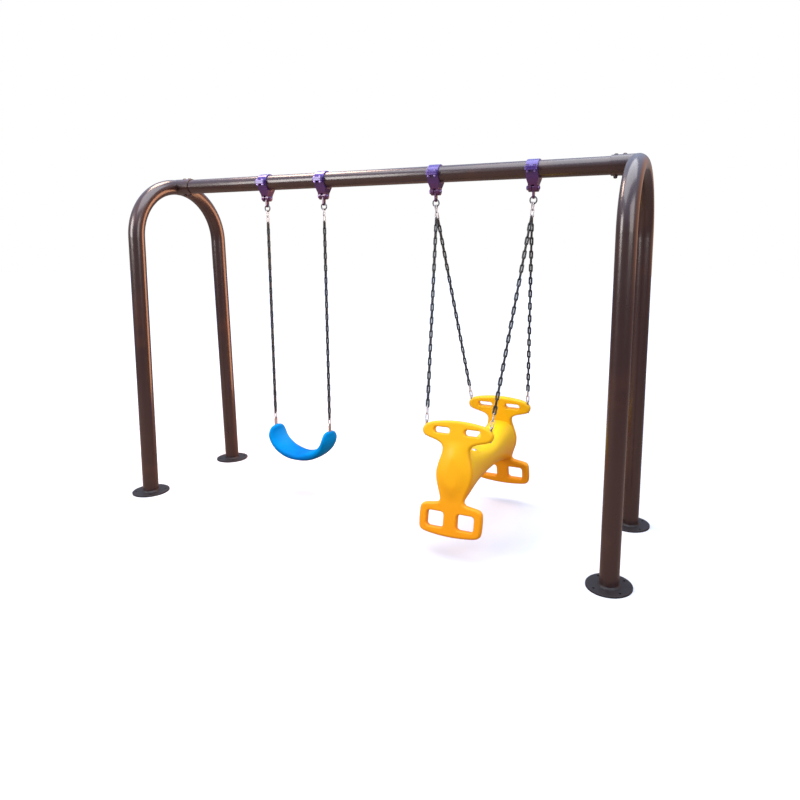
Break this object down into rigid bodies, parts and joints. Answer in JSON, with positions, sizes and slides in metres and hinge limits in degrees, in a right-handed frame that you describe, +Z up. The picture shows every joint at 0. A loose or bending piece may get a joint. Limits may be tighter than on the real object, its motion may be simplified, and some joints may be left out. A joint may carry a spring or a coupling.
{
  "type": "swing set",
  "caption": "Free-standing swing set on bent-tube arches with a straight beam, a blue belt swing on chains and a yellow face-to-face glider hung from purple clamp hangers.",
  "frame": {"origin": "centre of the base on the ground, midway between the arches and under the beam", "axes": "+X along the beam to the right as seen from the front, -Y to the front, +Z up"},
  "size_m": [3.662, 1.111, 2.3397],
  "materials": {
    "tube_paint": "gloss bronze-brown enamel",
    "sleeve_paint": "gloss bronze-brown enamel",
    "flange_paint": "satin dark grey paint",
    "purple_casting": "gloss purple powder coat on cast iron",
    "pendulum_paint": "gloss purple powder coat",
    "bush_bronze": "machined",
    "pin_steel": "purple-tinted plated steel",
    "ring_steel": "dull galvanised",
    "zinc_steel": "bright zinc plated",
    "bare_chain": "bright galvanised",
    "coated_chain": "soft black coating",
    "blue_belt": "smooth moulded, satin",
    "yellow_panel": "smooth moulded plastic, satin",
    "yellow_seat": "smooth moulded plastic, satin"
  },
  "bodies": {
    "frame": {"arch_left": "tube_paint", "flange_left_front": "flange_paint", "flange_left_rear": "flange_paint", "arch_right": "tube_paint", "flange_right_front": "flange_paint", "flange_right_rear": "flange_paint", "beam": "tube_paint", "sleeve_left": "sleeve_paint", "sleeve_right": "sleeve_paint", "sleeve_bolts": "zinc_steel", "sleeve_nuts": "zinc_steel", "hanger_cap_1": "purple_casting", "hanger_body_1": "purple_casting", "pivot_pin_1": "pin_steel", "hanger_cap_2": "purple_casting", "hanger_body_2": "purple_casting", "pivot_pin_2": "pin_steel", "hanger_cap_3": "purple_casting", "hanger_body_3": "purple_casting", "pivot_pin_3": "pin_steel", "hanger_cap_4": "purple_casting", "hanger_body_4": "purple_casting", "pivot_pin_4": "pin_steel", "hanger_bolts": "pin_steel", "hanger_nuts": "pin_steel", "pivot_nuts": "pin_steel"},
    "pendulum_left": {"pendulum_1": "pendulum_paint", "pivot_bush_1": "bush_bronze"},
    "pendulum_right": {"pendulum_2": "pendulum_paint", "pivot_bush_2": "bush_bronze"},
    "chain_left": {"ring_1": "ring_steel", "belt_chain_left_bare": "bare_chain", "belt_chain_left_coated": "coated_chain"},
    "chain_right": {"ring_2": "ring_steel", "belt_chain_right_bare": "bare_chain", "belt_chain_right_coated": "coated_chain"},
    "belt": {"belt_seat": "blue_belt", "belt_eyes": "bare_chain"},
    "glider": {"pendulum_3": "pendulum_paint", "pivot_bush_3": "bush_bronze", "ring_3": "ring_steel", "pendulum_4": "pendulum_paint", "pivot_bush_4": "bush_bronze", "ring_4": "ring_steel", "glider_chain_front_left_bare": "bare_chain", "glider_chain_front_left_coated": "coated_chain", "glider_chain_front_right_bare": "bare_chain", "glider_chain_front_right_coated": "coated_chain", "glider_chain_rear_left_bare": "bare_chain", "glider_chain_rear_left_coated": "coated_chain", "glider_chain_rear_right_bare": "bare_chain", "glider_chain_rear_right_coated": "coated_chain", "glider_end_front": "yellow_panel", "glider_end_rear": "yellow_panel", "glider_seat": "yellow_seat", "seat_bolts": "zinc_steel", "eye_bolts": "zinc_steel", "eye_nuts": "zinc_steel"}
  },
  "joints": [
    {"name": "belt_swing", "type": "hinge", "parent": "frame", "child": "pendulum_left", "pos_m": [-0.8555, 0, 2.17], "axis": [1, 0, 0], "range_deg": [-60, 60]},
    {"name": "belt_swing_right", "type": "hinge", "parent": "frame", "child": "pendulum_right", "pos_m": [-0.3745, 0, 2.17], "axis": [1, 0, 0], "range_deg": [-60, 60]},
    {"name": "belt_sway", "type": "hinge", "parent": "pendulum_left", "child": "chain_left", "pos_m": [-0.8555, 0, 2.12], "axis": [0, 1, 0], "range_deg": [-10, 10]},
    {"name": "belt_sway_right", "type": "hinge", "parent": "pendulum_right", "child": "chain_right", "pos_m": [-0.3745, 0, 2.12], "axis": [0, 1, 0], "range_deg": [-10, 10]},
    {"name": "belt_level", "type": "hinge", "parent": "chain_left", "child": "belt", "pos_m": [-0.8555, 0, 0.5577], "axis": [0, 1, 0], "range_deg": [-10, 10]},
    {"name": "glider_swing", "type": "hinge", "parent": "frame", "child": "glider", "pos_m": [0.469, 0, 2.17], "axis": [1, 0, 0], "range_deg": [-40, 40]}
  ],
  "couplings": [
    {"joint": "belt_swing_right", "follows": "belt_swing", "ratio": 1},
    {"joint": "belt_sway_right", "follows": "belt_sway", "ratio": 1},
    {"joint": "belt_level", "follows": "belt_sway", "ratio": -1}
  ]
}
